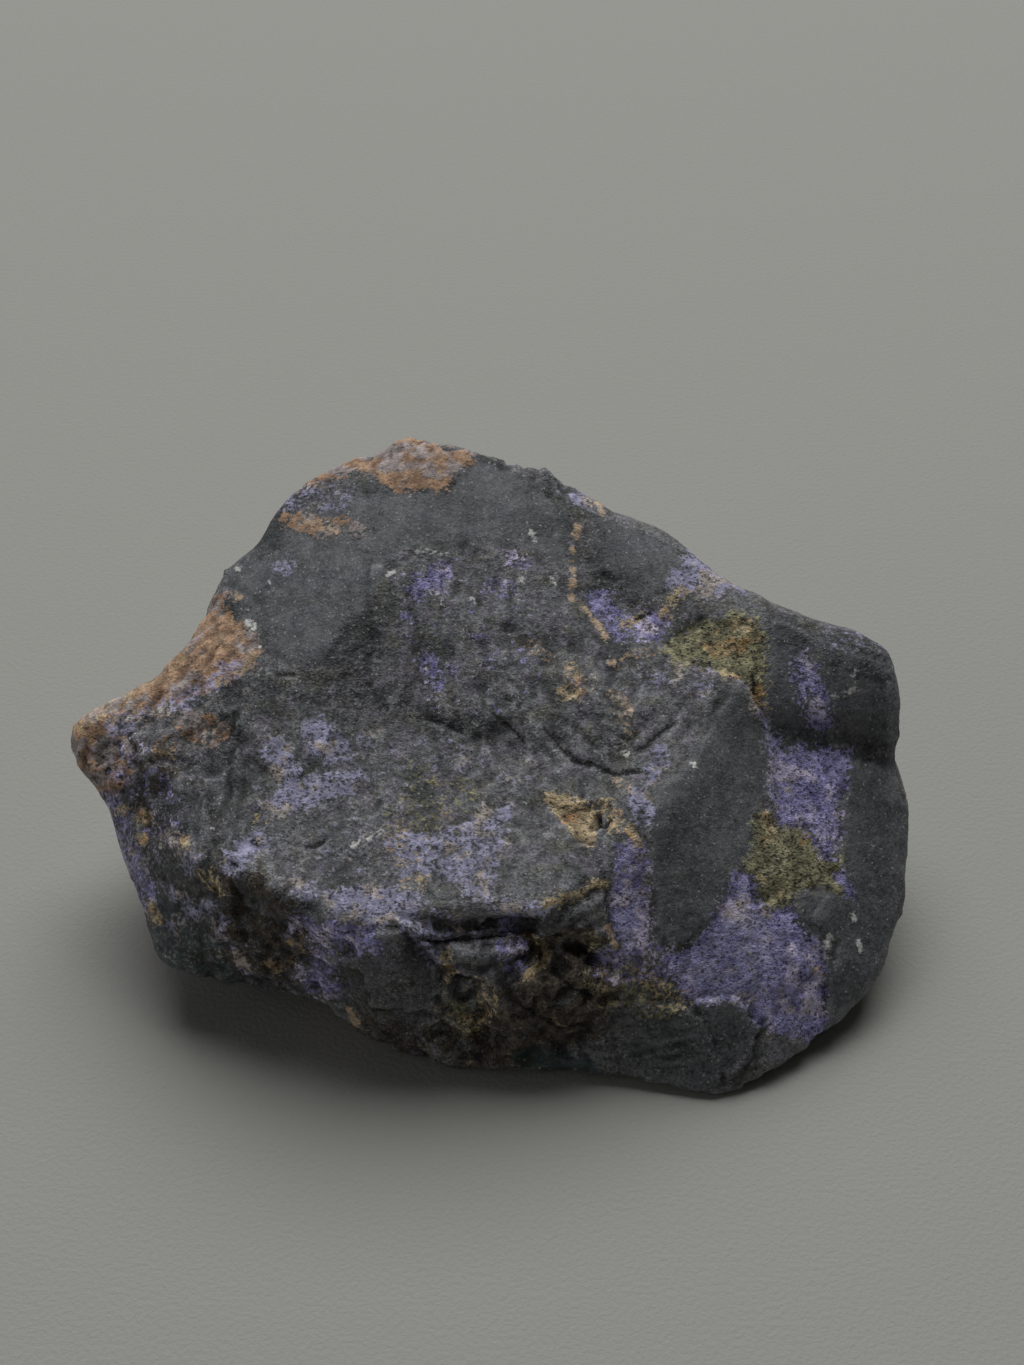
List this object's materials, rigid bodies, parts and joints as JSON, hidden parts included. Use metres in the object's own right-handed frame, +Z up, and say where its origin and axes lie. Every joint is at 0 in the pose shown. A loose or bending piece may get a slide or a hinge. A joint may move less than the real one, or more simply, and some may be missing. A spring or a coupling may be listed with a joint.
{
  "type": "phosphosiderite specimen",
  "caption": "Palm-sized broken piece of dark rock with purple, green and rusty mineral patches, lying on a flat side.",
  "frame": {"origin": "on the surface that the rock rests on, under the middle of its bounding box", "axes": "+X to the right along the rock's length, with the pointed rusty end at -X and the lobe at +X; +Y to the back, away from the sloping front; +Z up"},
  "size_m": [0.0834, 0.0618, 0.0355],
  "materials": {
    "stone": "dark blue-grey rock, matt with a faint sheen, with lilac and purple, ochre-green and rusty patches"
  },
  "bodies": {
    "root": {"phosphosiderite_specimen": "stone"}
  },
  "joints": []
}
